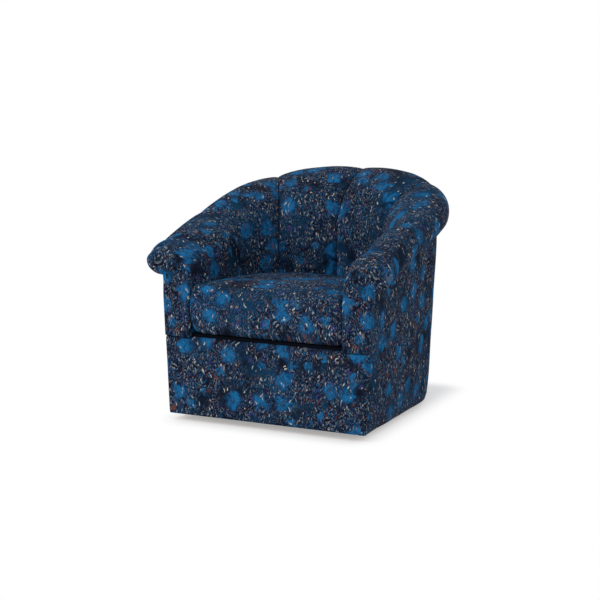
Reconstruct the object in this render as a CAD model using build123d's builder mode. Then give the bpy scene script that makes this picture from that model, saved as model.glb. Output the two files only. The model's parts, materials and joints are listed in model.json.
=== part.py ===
"""Swivel tub chair: a channelled, rolled back that runs into the arms, and a loose seat cushion.

Millimetres. +Z is up and the origin is on the floor, on the swivel axis. The sitter faces -Y,
and +X is on the right of someone who looks at the front of the chair.
"""

import math
import os

from build123d import *

os.makedirs("parts", exist_ok=True)

# The inside of the tub, at the seams between channels
seat_half_width = 282
seat_curve_lead = 109
seat_back_reach = 206
seam_seat_shares = (0, 0.167, 0.468, 0.712, 1)
seam_roll_shares = (0, 0.088, 0.318, 0.687, 1)

# Finished upholstery, outside
tub_depth = 858
wall_spread = 79
back_spread = 98
skirt_z = 24
skirt_half_width = seat_half_width + wall_spread
skirt_back_reach = seat_back_reach + back_spread
side_lean = 2.4
back_lean = 3.75
skin_thickness = 8
facing_thickness = 20
facing_corner_radius = 9

# The roll that runs along the arms and round the back
roll_overhang = 14
roll_back_overhang = 12
roll_half_width = skirt_half_width + roll_overhang
roll_back_reach = skirt_back_reach + roll_back_overhang
roll_radius_front = 69
roll_radius_back = 53
roll_back_swell = 1.5
roll_tilt = 14.1
arm_crest_z = 604
arm_under_z = 486
seam_dips = (24, 25, 12, 5, 2)

# One channel, foam and cover together
channel_crown = 14
waist_crown_share = 0.25
channel_back_thickness = 28
channel_landing = 74
flare_base = 43
flare_share = 0.6
seam_fill_share = 0.5
channel_step_shares = (0, 0.2, 0.5, 0.8, 1)
channel_fullness_shares = (0, 0.75, 1, 0.75, 0)

# Seat
rail_top_z = 279
spring_room = 6
deck_thickness = 15
deck_overlap = 18
front_border_z = 290
cushion_rise = 150
cushion_crown = 36
cushion_shell = 12
cushion_core_room = 1.5
cushion_side_room = 2
cushion_back_room = 4
cushion_front_inset = 2
cushion_corner_radius = 34

# Clearances
soft_gap = 0.3
running_gap = 0.1

# Timber frame
board = 22
rail_board = 28
base_rail_z = 26
base_rail_height = 70
seat_rail_height = 70
front_seat_rail_height = 95
post_depth = 44
top_rail_width = 46
top_rail_thickness = 25
top_rail_room = 8
upright_width = 60
upright_angles = (42, 90, 138)
stump_depth = 50
stump_share = 0.83
block_leg = 46
block_height = 48
member_width = 60
member_height = 40
member_spacing = 160
frame_bolt_radius = 3
nut_flange_radius = 9
nut_flange_thickness = 2
nut_barrel_radius = 4.5
nut_barrel_length = 10

# Swivel and floor ring
glide_radius = 11
glide_height = 3
glide_wrap = 4
glide_count = 6
ring_radius = 225
ring_tube_radius = 9.5
arm_notch = 2
arm_bar_width = 40
arm_bar_thickness = 6
hub_radius = 60
hub_bore_radius = 20
plate_thickness = 2.5
plate_corner_radius = 24
lower_plate_side = 270
upper_plate_length = 260
upper_plate_width = 214
plate_gap = 6
ball_radius = 4
ball_circle_radius = 60
ball_count = 24
race_gap = 0.1
cage_width = 20
cage_thickness = 1.5
pivot_radius = 10
pivot_bore_radius = 7
pivot_flange_radius = 16
pivot_flange_thickness = 1.5
base_bolt_circle_radius = 118
bolt_head_radius = 6
bolt_head_height = 2.2
bolt_tail = 3
base_nut_radius = 5.5
base_nut_height = 5
swivel_bolt_x = 108
dust_cover_thickness = 1
dust_cover_hole_radius = 165

# Springs
spring_count = 5
spring_spacing = 90
spring_wire_radius = 1.9
spring_pitch = 22
spring_run = 28
spring_hook = 12
clip_width = 18
clip_depth = 12
clip_height = 5.6

# Cuts run past the solid by this much
overrun = 10


# Plan of the tub
front_y = -tub_depth / 2
inner_front_y = front_y + facing_thickness
curve_y = tub_depth / 2 - roll_back_reach - roll_radius_back - roll_back_swell
seat_curve_y = curve_y - seat_curve_lead
tilt_rise_share = math.tan(math.radians(roll_tilt))
tilt_run_share = math.cos(math.radians(roll_tilt))
side_lean_share = math.tan(math.radians(side_lean))
back_lean_share = math.tan(math.radians(back_lean))

with BuildLine() as seat_path:
    Line((seat_half_width, inner_front_y), (seat_half_width, seat_curve_y))
    EllipticalCenterArc((0, seat_curve_y), seat_half_width, seat_back_reach, 0, arc_size=90)

with BuildLine() as roll_path:
    Line((roll_half_width, inner_front_y), (roll_half_width, curve_y))
    EllipticalCenterArc((0, curve_y), roll_half_width, roll_back_reach, 0, arc_size=90)

seat_wire = seat_path.wire()
roll_wire = roll_path.wire()


def rise(y):
    """How much higher the tilted roll is at y than at the front face."""
    return (y - front_y) * tilt_rise_share


def skin_half_width(z):
    """Half the outside width at height z."""
    return skirt_half_width + (z - skirt_z) * side_lean_share


def skin_reach(z):
    """How far the outside of the back reaches behind the start of its curve at height z."""
    return skirt_back_reach + (z - skirt_z) * back_lean_share


def dip(roll_share):
    """How far the foam has settled below the even rise of the roll, at a share of its length."""
    for number, ahead in enumerate(seam_roll_shares[1:]):
        behind = seam_roll_shares[number]
        if roll_share <= ahead:
            between = (roll_share - behind) / (ahead - behind)
            return seam_dips[number] + (seam_dips[number + 1] - seam_dips[number]) * between
    return seam_dips[-1]


def distance_to_skin(foot, outward):
    """Level distance from foot to the outside, along outward, at the underside of the roll."""
    distance = roll_half_width - seat_half_width
    for _ in range(8):
        y = foot.Y + distance * outward.Y
        z = arm_under_z + rise(y)
        wide = skin_half_width(z)
        deep = skin_reach(z)
        distance = (wide - foot.X) / outward.X if outward.X > side_lean_share else math.inf
        if foot.Y + distance * outward.Y > curve_y:
            back = foot.Y - curve_y
            a = (outward.X / wide) ** 2 + (outward.Y / deep) ** 2
            b = foot.X * outward.X / wide**2 + back * outward.Y / deep**2
            c = (foot.X / wide) ** 2 + (back / deep) ** 2 - 1
            distance = (math.sqrt(b * b - a * c) - b) / a
    return distance


class Station:
    """An upright cross-section of the tub wall, from the seat outwards."""

    def __init__(self, seat_share, roll_share, fullness_share):
        foot = seat_wire @ seat_share
        crest = roll_wire @ roll_share
        span = crest - foot
        self.foot = foot
        self.outward = span.normalized()
        self.plane = Plane(origin=foot, x_dir=self.outward, z_dir=self.outward.cross(Vector(0, 0, 1)))
        self.crown = channel_crown * fullness_share
        self.fill_share = seam_fill_share + (1 - seam_fill_share) * fullness_share
        self.crest_u = span.length
        self.roll_z = arm_crest_z + rise(crest.Y)
        self.crest_z = self.roll_z - dip(roll_share)
        self.radius = roll_radius_front + (roll_radius_back - roll_radius_front) * roll_share
        self.skin_u = distance_to_skin(foot, self.outward)

    def landing_z(self, u):
        """Height of the roll's underside at distance u."""
        return arm_under_z + rise(self.foot.Y + u * self.outward.Y)


def round_point(start, end):
    """Middle of a quarter ellipse that leaves start upright and meets end level."""
    share = math.sqrt(0.5)
    return (end[0] + (start[0] - end[0]) * share, start[1] + (end[1] - start[1]) * share)


def roll_outline(station):
    """Named corners of the visible line: up the inside, over the crest and under the roll."""
    crown = station.crown
    flare_z = station.roll_z - flare_base - flare_share * station.crest_u
    hip = (-crown, flare_z)
    crest = (station.crest_u, station.crest_z + crown / 2)
    full = round_point(hip, crest)
    chord = ((hip[0] + crest[0]) / 2, (hip[1] + crest[1]) / 2)
    fill = station.fill_share
    flare = (chord[0] + (full[0] - chord[0]) * fill, chord[1] + (full[1] - chord[1]) * fill)
    waist = (station.crest_u + station.radius + crown * waist_crown_share, station.roll_z - station.radius)
    shoulder = round_point(waist, crest)
    under = (station.skin_u, station.landing_z(station.skin_u))
    belly = round_point(waist, under)
    return hip, flare, crest, shoulder, waist, belly, under


def channel_face(station):
    """Closed cross-section of one channel."""
    hip, flare, crest, shoulder, waist, belly, under = roll_outline(station)
    landing_u = station.skin_u - channel_landing
    landing = (landing_u, station.landing_z(landing_u))
    lean = max(landing_u - channel_back_thickness, channel_back_thickness / 4)
    knee = (channel_back_thickness, landing[1] - lean * flare_share)
    toe = (channel_back_thickness, channel_foot_z)
    heel = (hip[0], channel_foot_z)
    with BuildSketch(station.plane) as section:
        with BuildLine():
            Line(heel, hip)
            ThreePointArc(hip, flare, crest)
            ThreePointArc(crest, shoulder, waist)
            ThreePointArc(waist, belly, under)
            Line(under, landing)
            Line(landing, knee)
            Line(knee, toe)
            Line(toe, heel)
        make_face()
    return section.sketch.face()


def write(part, name):
    """Label a finished piece and save it."""
    part.label = name
    export_step(part, f"parts/{name}.step")


deck_z = rail_top_z + spring_room
channel_foot_z = deck_z + deck_thickness
roll_seat = Plane(
    origin=(0, front_y, arm_under_z - soft_gap),
    x_dir=(1, 0, 0),
    z_dir=(0, -math.sin(math.radians(roll_tilt)), math.cos(math.radians(roll_tilt))),
)
rail_seat = roll_seat.offset(-top_rail_thickness * tilt_run_share)


# Channels, one by one from the front of each arm to the middle of the back
for number in range(1, len(seam_seat_shares)):
    seat_from, seat_to = seam_seat_shares[number - 1 : number + 1]
    roll_from, roll_to = seam_roll_shares[number - 1 : number + 1]
    with BuildPart() as channel_right:
        sections = []
        for step, fullness in zip(channel_step_shares, channel_fullness_shares):
            at_seat = seat_from + (seat_to - seat_from) * step
            at_roll = roll_from + (roll_to - roll_from) * step
            sections.append(channel_face(Station(at_seat, at_roll, fullness)))
        loft(sections)
    write(channel_right.part, f"channel_right_{number}")
    with BuildPart() as channel_left:
        mirror(channel_right.part, about=Plane.YZ)
    write(channel_left.part, f"channel_left_{number}")


# Outside arms: flat padded panels that lean out a little and stop under the roll
panel_top_z = arm_under_z + rise(tub_depth / 2) + overrun
side_base = skin_half_width(skirt_z)
side_top = skin_half_width(panel_top_z)
with BuildPart() as outside_arm_right:
    with BuildSketch(Plane.XZ.offset(-inner_front_y)):
        with BuildLine():
            Polyline(
                (side_base, skirt_z),
                (side_top, panel_top_z),
                (side_top - skin_thickness, panel_top_z),
                (side_base - skin_thickness, skirt_z),
                close=True,
            )
        make_face()
    extrude(amount=inner_front_y - curve_y)
    split(bisect_by=roll_seat, keep=Keep.BOTTOM)
write(outside_arm_right.part, "outside_arm_right")

with BuildPart() as outside_arm_left:
    mirror(outside_arm_right.part, about=Plane.YZ)
write(outside_arm_left.part, "outside_arm_left")


def half_ring(z, wide, deep, thickness, centre_y):
    """Rear half of an elliptical band that lies level at height z."""
    inner_wide = wide - thickness
    inner_deep = deep - thickness
    with BuildSketch(Plane.XY.offset(z)) as band:
        with BuildLine():
            EllipticalCenterArc((0, centre_y), wide, deep, 0, arc_size=90)
            EllipticalCenterArc((0, centre_y), wide, deep, 90, arc_size=90)
            Line((-wide, centre_y), (-inner_wide, centre_y))
            EllipticalCenterArc((0, centre_y), inner_wide, inner_deep, 90, arc_size=90)
            EllipticalCenterArc((0, centre_y), inner_wide, inner_deep, 0, arc_size=90)
            Line((inner_wide, centre_y), (wide, centre_y))
        make_face()
    return band.sketch.face()


# Outside back: one curved panel
with BuildPart() as outside_back:
    loft(
        [
            half_ring(z, skin_half_width(z), skin_reach(z), skin_thickness, curve_y)
            for z in (skirt_z, panel_top_z)
        ],
        ruled=True,
    )
    split(bisect_by=roll_seat, keep=Keep.BOTTOM)
write(outside_back.part, "outside_back")


# Front border: the padded face of the front rail, as wide as the chair
with BuildPart() as front_border:
    with BuildSketch(Plane.XZ.offset(-inner_front_y)):
        with BuildLine():
            Polyline(
                (-skin_half_width(skirt_z), skirt_z),
                (skin_half_width(skirt_z), skirt_z),
                (skin_half_width(front_border_z), front_border_z),
                (-skin_half_width(front_border_z), front_border_z),
                close=True,
            )
        make_face()
    extrude(amount=facing_thickness)
    front_edges = front_border.faces().sort_by(Axis.Y)[0].edges().sort_by(Axis.X)
    fillet([front_edges[0], front_edges[-1]], radius=facing_corner_radius)
write(front_border.part, "front_border")


# Arm fronts: padded facings under the scrolled ends of the roll
front_station = Station(0, 0, 0)
facing_foot_z = front_border_z + soft_gap
with BuildPart() as arm_front_right:
    with BuildSketch(front_station.plane):
        hip, _, crest, shoulder, waist, belly, under = roll_outline(front_station)
        foot_u = skin_half_width(facing_foot_z) - seat_half_width
        with BuildLine():
            Line((0, facing_foot_z), hip)
            ThreePointArc(hip, round_point(hip, crest), crest)
            ThreePointArc(crest, shoulder, waist)
            ThreePointArc(waist, belly, under)
            Line(under, (foot_u, facing_foot_z))
            Line((foot_u, facing_foot_z), (0, facing_foot_z))
        make_face()
    extrude(amount=facing_thickness)
write(arm_front_right.part, "arm_front_right")

with BuildPart() as arm_front_left:
    mirror(arm_front_right.part, about=Plane.YZ)
write(arm_front_left.part, "arm_front_left")


# Seat cushion: a crowned cover with drawn-in sides over a foam core
cushion_z = channel_foot_z + soft_gap
cushion_half_width = seat_half_width - channel_crown - cushion_side_room
cushion_back_reach = seat_back_reach - channel_crown - cushion_back_room
cushion_front_y = front_y + cushion_front_inset
cushion_rise_shares = (0, 0.13, 0.45, 0.8, 1)
cushion_draw_shares = (0.1, 0.025, 0, 0.02, 0.1)
crown_rise_shares = (0.34, 0.66, 0.88, 0.98)
crown_draw_shares = (0.2, 0.38, 0.6, 0.82)


def cushion_face(z, draw, shell):
    """Level cross-section of the cushion, drawn in from the widest outline."""
    inset = draw * cushion_back_reach + shell
    wide = cushion_half_width - inset
    deep = cushion_back_reach - inset
    front = cushion_front_y + inset
    corner = cushion_corner_radius
    diagonal = corner * (1 - math.sqrt(0.5))
    with BuildSketch(Plane.XY.offset(z)) as section:
        with BuildLine():
            Line((-wide + corner, front), (wide - corner, front))
            ThreePointArc((wide - corner, front), (wide - diagonal, front + diagonal), (wide, front + corner))
            Line((wide, front + corner), (wide, seat_curve_y))
            EllipticalCenterArc((0, seat_curve_y), wide, deep, 0, arc_size=90)
            EllipticalCenterArc((0, seat_curve_y), wide, deep, 90, arc_size=90)
            Line((-wide, seat_curve_y), (-wide, front + corner))
            ThreePointArc((-wide, front + corner), (diagonal - wide, front + diagonal), (corner - wide, front))
        make_face()
    return section.sketch.face()


def cushion_faces(shell):
    """Stack of sections, each inside the finished surface by shell."""
    stack = []
    for rise_share, draw in zip(cushion_rise_shares, cushion_draw_shares):
        low = shell * (1 - 2 * rise_share)
        stack.append(cushion_face(cushion_z + cushion_rise * rise_share + low, draw, shell))
    for rise_share, draw in zip(crown_rise_shares, crown_draw_shares):
        z = cushion_z + cushion_rise + cushion_crown * rise_share - shell
        stack.append(cushion_face(z, draw, shell))
    return stack


with BuildPart() as seat_cushion_cover:
    loft(cushion_faces(0))
    loft(cushion_faces(cushion_shell), mode=Mode.SUBTRACT)
write(seat_cushion_cover.part, "seat_cushion_cover")

with BuildPart() as seat_cushion_core:
    loft(cushion_faces(cushion_shell + cushion_core_room))
write(seat_cushion_core.part, "seat_cushion_core")


# Seat deck: a pad over the springs, its edge held under the channels
deck_half_width = seat_half_width + deck_overlap
with BuildPart() as seat_deck:
    with BuildSketch(Plane.XY.offset(deck_z + soft_gap)):
        with BuildLine():
            Line((-deck_half_width, inner_front_y), (deck_half_width, inner_front_y))
            Line((deck_half_width, inner_front_y), (deck_half_width, seat_curve_y))
            EllipticalCenterArc(
                (0, seat_curve_y), deck_half_width, seat_back_reach + deck_overlap, 0, arc_size=90
            )
            EllipticalCenterArc(
                (0, seat_curve_y), deck_half_width, seat_back_reach + deck_overlap, 90, arc_size=90
            )
            Line((-deck_half_width, seat_curve_y), (-deck_half_width, inner_front_y))
        make_face()
    extrude(amount=deck_thickness - soft_gap)
write(seat_deck.part, "seat_deck")


# Timber frame, low rails first
frame_half_width = skirt_half_width - skin_thickness - soft_gap
frame_back_reach = skirt_back_reach - skin_thickness - soft_gap
post_back_y = inner_front_y + post_depth
stump_y = inner_front_y + (curve_y - inner_front_y) * stump_share
post_inner_x = seat_half_width + rail_board + soft_gap


def board_box(low, high):
    """A board between two opposite corners."""
    centre = [(a + b) / 2 for a, b in zip(low, high)]
    with Locations(tuple(centre)):
        Box(*[b - a for a, b in zip(low, high)])


with BuildPart() as side_base_rail_right:
    board_box(
        (frame_half_width - board, post_back_y, base_rail_z),
        (frame_half_width, curve_y, base_rail_z + base_rail_height),
    )

with BuildPart() as back_base_rail:
    add(half_ring(base_rail_z, frame_half_width, frame_back_reach, board, curve_y))
    extrude(amount=base_rail_height)

with BuildPart() as front_base_rail:
    board_box(
        (-post_inner_x, inner_front_y, base_rail_z),
        (post_inner_x, inner_front_y + board, base_rail_z + base_rail_height),
    )

with BuildPart() as arm_post_right:
    board_box(
        (post_inner_x, inner_front_y, base_rail_z),
        (frame_half_width, post_back_y, arm_crest_z),
    )
    split(bisect_by=rail_seat, keep=Keep.BOTTOM)

with BuildPart() as arm_stump_right:
    board_box(
        (post_inner_x, stump_y - stump_depth / 2, base_rail_z + base_rail_height),
        (frame_half_width, stump_y + stump_depth / 2, panel_top_z),
    )
    split(bisect_by=rail_seat, keep=Keep.BOTTOM)

# Seat rails carry the springs and the feet of the channels
with BuildPart() as front_seat_rail:
    board_box(
        (-seat_half_width, inner_front_y, rail_top_z - front_seat_rail_height),
        (seat_half_width, inner_front_y + rail_board, rail_top_z),
    )

with BuildPart() as side_seat_rail_right:
    board_box(
        (seat_half_width, inner_front_y, rail_top_z - seat_rail_height),
        (seat_half_width + rail_board, seat_curve_y, rail_top_z),
    )

with BuildPart() as back_seat_rail:
    add(
        half_ring(
            rail_top_z - seat_rail_height,
            seat_half_width + rail_board,
            seat_back_reach + rail_board,
            rail_board,
            seat_curve_y,
        )
    )
    extrude(amount=seat_rail_height)

# Top rails lie in the tilt of the roll
top_rail_half_width = skin_half_width(arm_under_z - top_rail_thickness) - skin_thickness - soft_gap
top_rail_reach = skin_reach(arm_under_z + rise(tub_depth / 2)) - skin_thickness - top_rail_room
slope = 1 / tilt_run_share
with BuildPart() as arm_top_rail_right:
    with BuildSketch(roll_seat):
        with BuildLine():
            Polyline(
                (top_rail_half_width - top_rail_width, (inner_front_y - front_y) * slope),
                (top_rail_half_width, (inner_front_y - front_y) * slope),
                (top_rail_half_width, (curve_y - front_y) * slope),
                (top_rail_half_width - top_rail_width, (curve_y - front_y) * slope),
                close=True,
            )
        make_face()
    extrude(amount=top_rail_thickness, dir=(0, 0, -1))

with BuildPart() as back_top_rail:
    with BuildSketch(roll_seat):
        centre = (0, (curve_y - front_y) * slope)
        outer = (top_rail_half_width, top_rail_reach * slope)
        inner = (top_rail_half_width - top_rail_width, (top_rail_reach - top_rail_width) * slope)
        with BuildLine():
            EllipticalCenterArc(centre, *outer, 0, arc_size=90)
            EllipticalCenterArc(centre, *outer, 90, arc_size=90)
            Line((-outer[0], centre[1]), (-inner[0], centre[1]))
            EllipticalCenterArc(centre, *inner, 90, arc_size=90)
            EllipticalCenterArc(centre, *inner, 0, arc_size=90)
            Line((inner[0], centre[1]), (outer[0], centre[1]))
        make_face()
    extrude(amount=top_rail_thickness, dir=(0, 0, -1))
write(back_top_rail.part, "back_top_rail")

# Uprights stand on the back base rail and hold the top rail
for angle, side in zip(upright_angles, ("right", "centre", "left")):
    turn = math.radians(angle)
    middle = (
        (frame_half_width - board / 2) * math.cos(turn),
        curve_y + (frame_back_reach - board / 2) * math.sin(turn),
    )
    with BuildPart() as back_upright:
        with BuildSketch(Plane.XY.offset(base_rail_z + base_rail_height)):
            with Locations(middle):
                Rectangle(board, upright_width, rotation=angle)
        extrude(amount=panel_top_z - base_rail_z - base_rail_height)
        split(bisect_by=rail_seat, keep=Keep.BOTTOM)
    write(back_upright.part, f"back_upright_{side}")

# Blocks glued into the front corners
with BuildPart() as corner_blocks:
    for z in (base_rail_z, rail_top_z - front_seat_rail_height - block_height):
        for side in (-1, 1):
            with BuildSketch(Plane.XY.offset(z)):
                with BuildLine():
                    Polyline(
                        (side * post_inner_x, inner_front_y + board),
                        (side * post_inner_x, inner_front_y + board + block_leg),
                        (side * (post_inner_x - block_leg), inner_front_y + board),
                        close=True,
                    )
                make_face()
            extrude(amount=block_height)

for name, piece in (
    ("side_base_rail", side_base_rail_right),
    ("side_seat_rail", side_seat_rail_right),
    ("arm_post", arm_post_right),
    ("arm_stump", arm_stump_right),
    ("arm_top_rail", arm_top_rail_right),
):
    write(piece.part, f"{name}_right")
    with BuildPart() as other_side:
        mirror(piece.part, about=Plane.YZ)
    write(other_side.part, f"{name}_left")
write(back_base_rail.part, "back_base_rail")
write(front_base_rail.part, "front_base_rail")
write(front_seat_rail.part, "front_seat_rail")
write(back_seat_rail.part, "back_seat_rail")
write(corner_blocks.part, "corner_blocks")


# Floor ring: a steel tube on glides, with two crossed bars that carry the swivel
ring_z = glide_height + ring_tube_radius
bar_z = ring_z + ring_tube_radius - arm_notch
lower_plate_z = bar_z + arm_bar_thickness
upper_plate_z = lower_plate_z + plate_thickness + plate_gap
member_z = upper_plate_z + plate_thickness
ball_z = lower_plate_z + plate_thickness + plate_gap / 2

with BuildPart() as base_arms:
    with BuildSketch(Plane.XY.offset(bar_z)):
        Rectangle(2 * ring_radius, arm_bar_width)
        Rectangle(arm_bar_width, 2 * ring_radius)
        Circle(hub_radius)
        Circle(hub_bore_radius, mode=Mode.SUBTRACT)
        with PolarLocations(base_bolt_circle_radius, 4):
            Circle(frame_bolt_radius, mode=Mode.SUBTRACT)
    extrude(amount=arm_bar_thickness)
write(base_arms.part, "base_arms")

with BuildPart() as floor_ring:
    with Locations((0, 0, ring_z)):
        Torus(ring_radius, ring_tube_radius)
    add(base_arms.part, mode=Mode.SUBTRACT)
write(floor_ring.part, "floor_ring")

with BuildPart() as floor_glides:
    with BuildSketch():
        with PolarLocations(ring_radius, glide_count, start_angle=90):
            Circle(glide_radius)
    extrude(amount=glide_height + glide_wrap)
    with Locations((0, 0, ring_z)):
        Torus(ring_radius, ring_tube_radius, mode=Mode.SUBTRACT)
write(floor_glides.part, "floor_glides")

with BuildPart() as lower_plate:
    with BuildSketch(Plane.XY.offset(lower_plate_z)):
        RectangleRounded(lower_plate_side, lower_plate_side, plate_corner_radius)
        Circle(pivot_radius, mode=Mode.SUBTRACT)
        with PolarLocations(base_bolt_circle_radius, 4):
            Circle(frame_bolt_radius, mode=Mode.SUBTRACT)
    extrude(amount=plate_thickness)
    with Locations((0, 0, ball_z)):
        Torus(ball_circle_radius, ball_radius + race_gap, mode=Mode.SUBTRACT)
write(lower_plate.part, "lower_plate")

swivel_bolts_at = [
    (x, y)
    for x in (-swivel_bolt_x, swivel_bolt_x)
    for y in (-member_spacing / 2, member_spacing / 2)
]
with BuildPart() as upper_plate:
    with BuildSketch(Plane.XY.offset(upper_plate_z)):
        RectangleRounded(upper_plate_length, upper_plate_width, plate_corner_radius)
        Circle(pivot_radius + running_gap, mode=Mode.SUBTRACT)
        with Locations(*swivel_bolts_at):
            Circle(frame_bolt_radius, mode=Mode.SUBTRACT)
    extrude(amount=plate_thickness)
    with Locations((0, 0, ball_z)):
        Torus(ball_circle_radius, ball_radius + race_gap, mode=Mode.SUBTRACT)
write(upper_plate.part, "upper_plate")

with BuildPart() as bearing_balls:
    with Locations((0, 0, ball_z)):
        with PolarLocations(ball_circle_radius, ball_count):
            Sphere(ball_radius)
write(bearing_balls.part, "bearing_balls")

with BuildPart() as ball_cage:
    with BuildSketch(Plane.XY.offset(ball_z - cage_thickness / 2)):
        Circle(ball_circle_radius + cage_width / 2)
        Circle(ball_circle_radius - cage_width / 2, mode=Mode.SUBTRACT)
        with PolarLocations(ball_circle_radius, ball_count):
            Circle(ball_radius + running_gap, mode=Mode.SUBTRACT)
    extrude(amount=cage_thickness)
write(ball_cage.part, "ball_cage")

with BuildPart() as swivel_pivot:
    with BuildSketch(Plane.XZ):
        with BuildLine():
            head_z = member_z + running_gap
            Polyline(
                (pivot_bore_radius, lower_plate_z - pivot_flange_thickness),
                (pivot_flange_radius, lower_plate_z - pivot_flange_thickness),
                (pivot_flange_radius, lower_plate_z),
                (pivot_radius, lower_plate_z),
                (pivot_radius, head_z),
                (pivot_flange_radius, head_z),
                (pivot_flange_radius, head_z + pivot_flange_thickness),
                (pivot_bore_radius, head_z + pivot_flange_thickness),
                close=True,
            )
        make_face()
    revolve(axis=Axis.Z)
write(swivel_pivot.part, "swivel_pivot")

with BuildPart() as base_bolts:
    with BuildSketch(Plane.XY.offset(lower_plate_z + plate_thickness)):
        with PolarLocations(base_bolt_circle_radius, 4):
            Circle(bolt_head_radius)
    extrude(amount=bolt_head_height)
    with BuildSketch(Plane.XY.offset(lower_plate_z + plate_thickness)):
        with PolarLocations(base_bolt_circle_radius, 4):
            Circle(frame_bolt_radius)
    extrude(amount=-plate_thickness - arm_bar_thickness - base_nut_height - bolt_tail / 2)
write(base_bolts.part, "base_bolts")

with BuildPart() as base_nuts:
    with BuildSketch(Plane.XY.offset(bar_z)):
        with PolarLocations(base_bolt_circle_radius, 4):
            RegularPolygon(base_nut_radius, 6)
            Circle(frame_bolt_radius, mode=Mode.SUBTRACT)
    extrude(amount=-base_nut_height)
write(base_nuts.part, "base_nuts")


def frame_inside(z):
    """Outline of the space inside the base rails, level at height z."""
    wide = frame_half_width - board
    deep = frame_back_reach - board
    with BuildSketch(Plane.XY.offset(z)) as inside:
        with BuildLine():
            Line((-post_inner_x, inner_front_y + board), (post_inner_x, inner_front_y + board))
            Line((post_inner_x, inner_front_y + board), (post_inner_x, post_back_y))
            Line((post_inner_x, post_back_y), (wide, post_back_y))
            Line((wide, post_back_y), (wide, curve_y))
            EllipticalCenterArc((0, curve_y), wide, deep, 0, arc_size=90)
            EllipticalCenterArc((0, curve_y), wide, deep, 90, arc_size=90)
            Line((-wide, curve_y), (-wide, post_back_y))
            Line((-wide, post_back_y), (-post_inner_x, post_back_y))
            Line((-post_inner_x, post_back_y), (-post_inner_x, inner_front_y + board))
        make_face()
    return inside.sketch.face()


# Cross members under the seat, bolted to the turning plate
member_top_z = member_z + member_height
with BuildPart() as member_space:
    add(frame_inside(member_z))
    extrude(amount=member_height)

for side, name in ((-1, "front"), (1, "rear")):
    with BuildPart() as swivel_member:
        with BuildSketch(Plane.XY.offset(member_z)):
            with Locations((0, side * member_spacing / 2)):
                Rectangle(2 * (frame_half_width - board), member_width)
            with Locations(*swivel_bolts_at):
                Circle(frame_bolt_radius, mode=Mode.SUBTRACT)
        extrude(amount=member_height)
        with BuildSketch(Plane.XY.offset(member_top_z)):
            with Locations(*swivel_bolts_at):
                Circle(nut_barrel_radius)
        extrude(amount=-nut_barrel_length, mode=Mode.SUBTRACT)
        add(member_space.part, mode=Mode.INTERSECT)
    write(swivel_member.part, f"swivel_member_{name}")

with BuildPart() as swivel_bolts:
    with BuildSketch(Plane.XY.offset(upper_plate_z)):
        with Locations(*swivel_bolts_at):
            Circle(bolt_head_radius)
    extrude(amount=-bolt_head_height)
    with BuildSketch(Plane.XY.offset(upper_plate_z)):
        with Locations(*swivel_bolts_at):
            Circle(frame_bolt_radius)
    extrude(amount=plate_thickness + member_height + bolt_tail)
write(swivel_bolts.part, "swivel_bolts")

with BuildPart() as tee_nuts:
    with BuildSketch(Plane.XY.offset(member_top_z)):
        with Locations(*swivel_bolts_at):
            Circle(nut_flange_radius)
    extrude(amount=nut_flange_thickness)
    with BuildSketch(Plane.XY.offset(member_top_z)):
        with Locations(*swivel_bolts_at):
            Circle(nut_barrel_radius)
    extrude(amount=-nut_barrel_length)
    add(swivel_bolts.part, mode=Mode.SUBTRACT)
write(tee_nuts.part, "tee_nuts")

# Dust cover: cloth stapled under the cross members, open round the plate
with BuildPart() as dust_cover:
    with BuildSketch(Plane.XY.offset(member_z - dust_cover_thickness)):
        add(frame_inside(0))
        Circle(dust_cover_hole_radius, mode=Mode.SUBTRACT)
    extrude(amount=dust_cover_thickness)
    add(corner_blocks.part, mode=Mode.SUBTRACT)
write(dust_cover.part, "dust_cover")

# Springs: flat zigzag wire from the front seat rail to the back one
spring_z = rail_top_z + clip_height / 2
spring_front_y = inner_front_y + rail_board / 2
spring_xs = [spring_spacing * (index - (spring_count - 1) / 2) for index in range(spring_count)]
clip_places = []
with BuildPart() as seat_springs:
    for x in spring_xs:
        back_y = seat_curve_y + seat_back_reach * math.sqrt(1 - (x / seat_half_width) ** 2)
        turns = int((back_y + spring_hook - spring_front_y) / spring_pitch)
        with BuildLine(Plane.XY.offset(spring_z)) as route:
            for turn in range(turns + 1):
                y = spring_front_y + turn * spring_pitch
                side = 1 if turn % 2 == 0 else -1
                start = (x - side * spring_run / 2, y)
                end = (x + side * spring_run / 2, y)
                Line(start, end)
                if turn < turns:
                    bulge = (end[0] + side * spring_pitch / 2, y + spring_pitch / 2)
                    ThreePointArc(end, bulge, (end[0], y + spring_pitch))
        with BuildSketch(Plane(origin=route.wire() @ 0, z_dir=route.wire() % 0)):
            Circle(spring_wire_radius)
        sweep(path=route.wire())
        clip_places.append((x, spring_front_y))
        clip_places.append((x, spring_front_y + turns * spring_pitch))
write(seat_springs.part, "seat_springs")

with BuildPart() as spring_clips:
    for x, y in clip_places:
        with Locations((x, y, spring_z)):
            Box(clip_width, clip_depth, clip_height)
            Cylinder(spring_wire_radius + running_gap, clip_width, rotation=(0, 90, 0), mode=Mode.SUBTRACT)
write(spring_clips.part, "spring_clips")
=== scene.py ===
"""Dress the swivel tub chair: channelled upholstery, loose cushion, frame and floor ring.

Every size is in metres, in the chair's own frame: +Z up, -Y to the front, +X to the right.
"""
import json
import logging
import math
from dataclasses import dataclass
from enum import Enum
from typing import Callable, NamedTuple, Sequence

import bpy
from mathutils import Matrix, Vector, noise


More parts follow.
